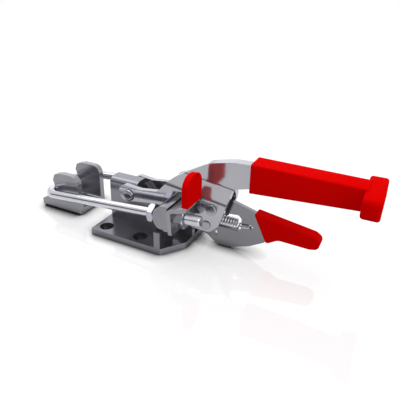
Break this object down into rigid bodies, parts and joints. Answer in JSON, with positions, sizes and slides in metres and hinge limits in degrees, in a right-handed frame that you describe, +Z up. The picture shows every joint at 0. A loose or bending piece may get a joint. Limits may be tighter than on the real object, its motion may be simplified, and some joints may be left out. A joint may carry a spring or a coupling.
{
  "type": "latch toggle clamp",
  "caption": "Latch-type toggle clamp: flanged base with lever handle, U-bolt with nuts, trigger release and the hooked latch plate it pulls on.",
  "frame": {"origin": "centre of the base plate's four bolt holes, on its underside", "axes": "+X from the latch plate towards the handle's grip, +Z up out of the base, +Y to the far side"},
  "size_m": [0.2691, 0.0703, 0.0725],
  "materials": {
    "zinc_plated_steel": "satin",
    "bright_rod": "gloss",
    "spring_steel": "satin",
    "bronze_bush": "satin",
    "red_dipped_vinyl": "satin"
  },
  "bodies": {
    "base": {"base_plate": "zinc_plated_steel", "pivot_tower": "zinc_plated_steel", "pivot_bushes": "bronze_bush", "catch_pin": "zinc_plated_steel", "latch_plate": "zinc_plated_steel"},
    "handle": {"handle_plate_near": "zinc_plated_steel", "handle_plate_far": "zinc_plated_steel", "handle_grip": "red_dipped_vinyl", "tang_rivets": "zinc_plated_steel", "pivot_rivet": "bright_rod", "trigger_rivet": "bright_rod", "trigger_spacers": "zinc_plated_steel", "spring_anchor_pin": "bright_rod", "trigger_spring": "spring_steel"},
    "trigger": {"trigger_plate": "zinc_plated_steel", "trigger_grip": "red_dipped_vinyl"},
    "u_bolt": {"u_bolt": "bright_rod", "trunnion": "zinc_plated_steel", "u_bolt_nuts": "bright_rod", "thumb_bracket": "zinc_plated_steel", "thumb_grip": "red_dipped_vinyl"}
  },
  "joints": [
    {"name": "handle_pivot", "type": "hinge", "parent": "base", "child": "handle", "pos_m": [-0.0035, 0, 0.029], "axis": [0, -1, 0], "range_deg": [0, 88]},
    {"name": "u_bolt_swivel", "type": "hinge", "parent": "handle", "child": "u_bolt", "pos_m": [0.04, 0, 0.0283], "axis": [0, -1, 0], "range_deg": [-60, 0]},
    {"name": "trigger_pivot", "type": "hinge", "parent": "handle", "child": "trigger", "pos_m": [0.0673, 0, 0.034], "axis": [0, -1, 0], "range_deg": [0, 13], "stiffness_Nm_per_rad": 0.8, "springref_deg": -17.19, "deforming": ["trigger_spring"]}
  ],
  "couplings": [
    {"joint": "u_bolt_swivel", "follows": "handle_pivot", "ratio": -0.66}
  ]
}
